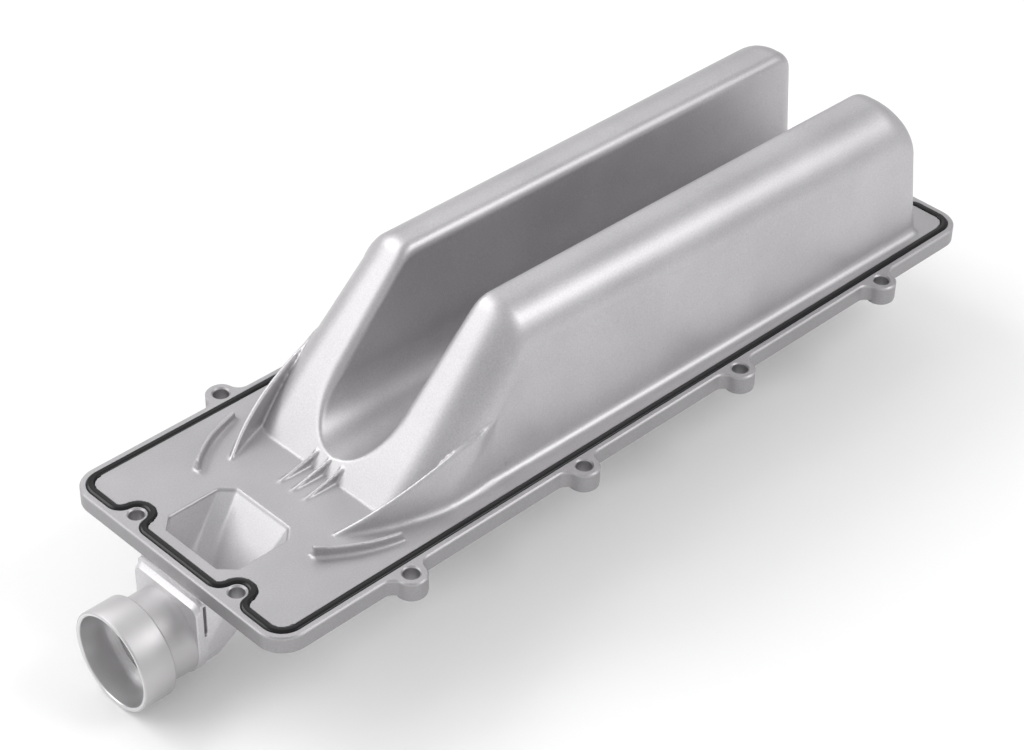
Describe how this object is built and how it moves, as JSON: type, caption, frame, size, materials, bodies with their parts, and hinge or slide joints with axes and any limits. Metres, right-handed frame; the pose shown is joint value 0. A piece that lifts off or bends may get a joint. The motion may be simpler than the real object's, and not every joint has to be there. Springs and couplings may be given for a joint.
{
  "type": "crankcase breather cover",
  "caption": "Long bolted cover with a rubber seal in its flange, a pair of hollow humps beside a valley, and a pocket leading down into a round hose socket.",
  "frame": {"origin": "midway between the two front bolt holes, on the sealing face of the flange", "axes": "+X along the flange to its rear, away from the hose socket; +Z out of the sealing face, up over the humps; +Y completes the frame"},
  "size_m": [0.4303, 0.1456, 0.1198],
  "materials": {
    "casting": "satin, as cast and blasted",
    "seal_rubber": "smooth moulded rubber"
  },
  "bodies": {
    "root": {"housing": "casting", "seal": "seal_rubber"}
  },
  "joints": []
}
